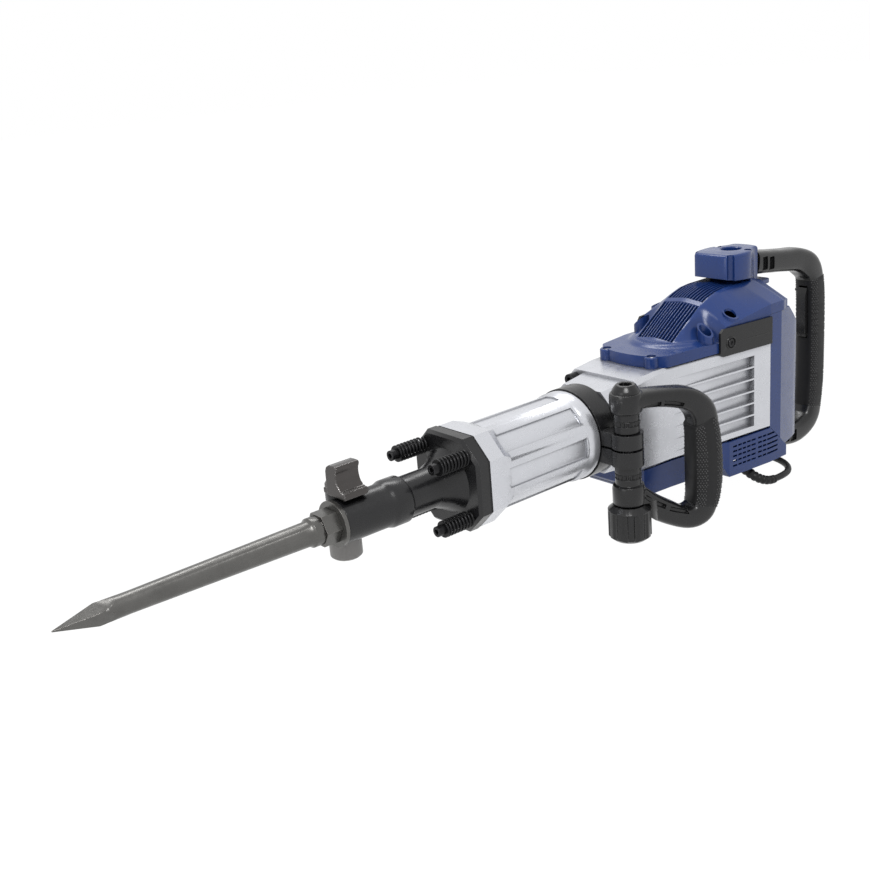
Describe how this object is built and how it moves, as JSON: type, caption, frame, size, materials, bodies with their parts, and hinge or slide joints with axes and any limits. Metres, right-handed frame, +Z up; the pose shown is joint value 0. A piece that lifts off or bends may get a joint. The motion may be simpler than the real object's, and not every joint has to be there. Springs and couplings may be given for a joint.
{
  "type": "electric demolition hammer",
  "caption": "Electric demolition hammer with a pointed chisel, sprung nose, silver barrel, domed motor housing, D-shaped rear handle and swivelling side handle.",
  "frame": {"origin": "on the tool axis at the front face of the nose sleeve, where the chisel enters", "axes": "+X along the tool axis from the nose back to the rear handle (the chisel points along -X), +Z up, the side handle on the -Y side"},
  "size_m": [1.056, 0.3416, 0.2785],
  "materials": {
    "silver_paint": "satin silver paint over a rough casting",
    "dark_steel": "blackened forged steel, satin",
    "bright_steel": "ground steel",
    "black_casting": "gloss black paint over a casting",
    "black_screw": "black oxide",
    "grey_casting": "mid grey paint",
    "blue_plastic": "satin blue moulding",
    "black_plastic": "matt black moulding",
    "black_rubber": "soft grip rubber with a fine dot texture",
    "copper_winding": "varnished copper wire",
    "core_steel": "stacked steel sheets",
    "brass_part": "machined brass",
    "carbon": "pressed carbon",
    "white_plastic": "moulded nylon"
  },
  "bodies": {
    "housing": {"damper_bolts": "black_screw", "damper_washers": "black_screw", "damper_springs": "black_screw", "nose_buffer": "black_rubber", "barrel": "silver_paint", "anvil_bushing": "brass_part", "cylinder_liner": "bright_steel", "crank_bearings": "bright_steel", "shaft_bearings": "bright_steel", "field_core": "core_steel", "field_coils": "copper_winding", "carbon_brushes": "carbon", "brush_holders": "brass_part", "crank_case": "silver_paint", "case_bolts": "black_screw", "gear_cover": "blue_plastic", "gear_cover_screws": "bright_steel", "motor_cover": "blue_plastic", "motor_cover_screws": "black_screw", "rear_cover": "blue_plastic", "rear_cover_screws": "black_screw", "side_plate_left": "black_plastic", "side_plate_right": "black_plastic", "side_plate_screws": "black_screw", "handle_bracket": "blue_plastic", "bracket_screws": "bright_steel", "handle_bolt": "black_screw", "rear_handle": "black_plastic", "rear_handle_grip": "black_rubber", "switch_block": "black_plastic", "cord_boot": "black_rubber", "mains_cord": "black_rubber", "mains_cord_coil": "black_rubber", "mains_plug": "black_rubber"},
    "nose": {"nose_housing": "black_casting", "tool_sleeve": "bright_steel"},
    "retainer": {"retainer_shaft": "dark_steel", "retainer_lever": "dark_steel", "retainer_cap": "grey_casting"},
    "tool": {"chisel": "dark_steel"},
    "anvil_body": {"anvil": "bright_steel"},
    "ram_body": {"ram": "bright_steel"},
    "piston_body": {"piston": "silver_paint", "wrist_pin": "bright_steel", "connecting_rod": "bright_steel", "crank_pin": "bright_steel"},
    "crank": {"crankshaft": "dark_steel", "crank_gear": "bright_steel"},
    "intermediate": {"intermediate_gear": "bright_steel"},
    "armature": {"motor_shaft": "bright_steel", "armature_core": "core_steel", "commutator": "copper_winding", "cooling_fan": "white_plastic"},
    "clamp": {"clamp_band": "black_casting"},
    "front_handle": {"side_handle": "black_plastic", "side_handle_grip": "black_rubber", "side_handle_bolt": "bright_steel", "side_handle_nut": "black_plastic"},
    "knob": {"side_handle_knob": "black_plastic"},
    "switch_trigger": {"trigger": "black_plastic"}
  },
  "joints": [
    {"name": "nose_slide", "type": "slide", "parent": "housing", "child": "nose", "axis": [-1, 0, 0], "range_m": [0, 0.005], "stiffness_N_per_m": 40000, "springref_m": -0.004, "deforming": ["damper_springs"]},
    {"name": "retainer_turn", "type": "hinge", "parent": "nose", "child": "retainer", "pos_m": [0.025, 0.02, 0], "axis": [0, 0, 1], "range_deg": [-180, 0]},
    {"name": "tool_slide", "type": "slide", "parent": "nose", "child": "tool", "axis": [-1, 0, 0], "range_m": [-0.01, 0.012]},
    {"name": "anvil_slide", "type": "slide", "parent": "housing", "child": "anvil_body", "axis": [-1, 0, 0], "range_m": [-0.01, 0.012]},
    {"name": "ram_slide", "type": "slide", "parent": "housing", "child": "ram_body", "axis": [1, 0, 0], "range_m": [0, 0.03]},
    {"name": "piston_slide", "type": "slide", "parent": "housing", "child": "piston_body", "axis": [1, 0, 0], "range_m": [0, 0.044]},
    {"name": "armature_spin", "type": "hinge", "parent": "housing", "child": "armature", "pos_m": [0.539, 0, 0], "axis": [0, 0, 1], "continuous": true},
    {"name": "intermediate_spin", "type": "hinge", "parent": "housing", "child": "intermediate", "pos_m": [0.504, 0, 0], "axis": [0, 0, 1], "continuous": true},
    {"name": "crank_spin", "type": "hinge", "parent": "housing", "child": "crank", "pos_m": [0.462, 0, 0], "axis": [0, 0, 1], "continuous": true},
    {"name": "clamp_turn", "type": "hinge", "parent": "housing", "child": "clamp", "pos_m": [0.325, 0, 0], "axis": [1, 0, 0], "range_deg": [-45, 25]},
    {"name": "handle_turn", "type": "hinge", "parent": "clamp", "child": "front_handle", "pos_m": [0.328, -0.072, 0], "axis": [0, 0, 1], "range_deg": [-148, 0]},
    {"name": "knob_turn", "type": "hinge", "parent": "front_handle", "child": "knob", "pos_m": [0.328, -0.072, -0.086], "axis": [0, 0, 1], "continuous": true},
    {"name": "trigger_squeeze", "type": "hinge", "parent": "housing", "child": "switch_trigger", "pos_m": [0.752, 0, 0.072], "axis": [0, -1, 0], "range_deg": [0, 4], "stiffness_Nm_per_rad": 1.5, "springref_deg": -4.58}
  ],
  "couplings": [
    {"joint": "anvil_slide", "follows": "tool_slide", "ratio": 1},
    {"joint": "intermediate_spin", "follows": "armature_spin", "ratio": -0.33333},
    {"joint": "crank_spin", "follows": "armature_spin", "ratio": 0.11111}
  ]
}
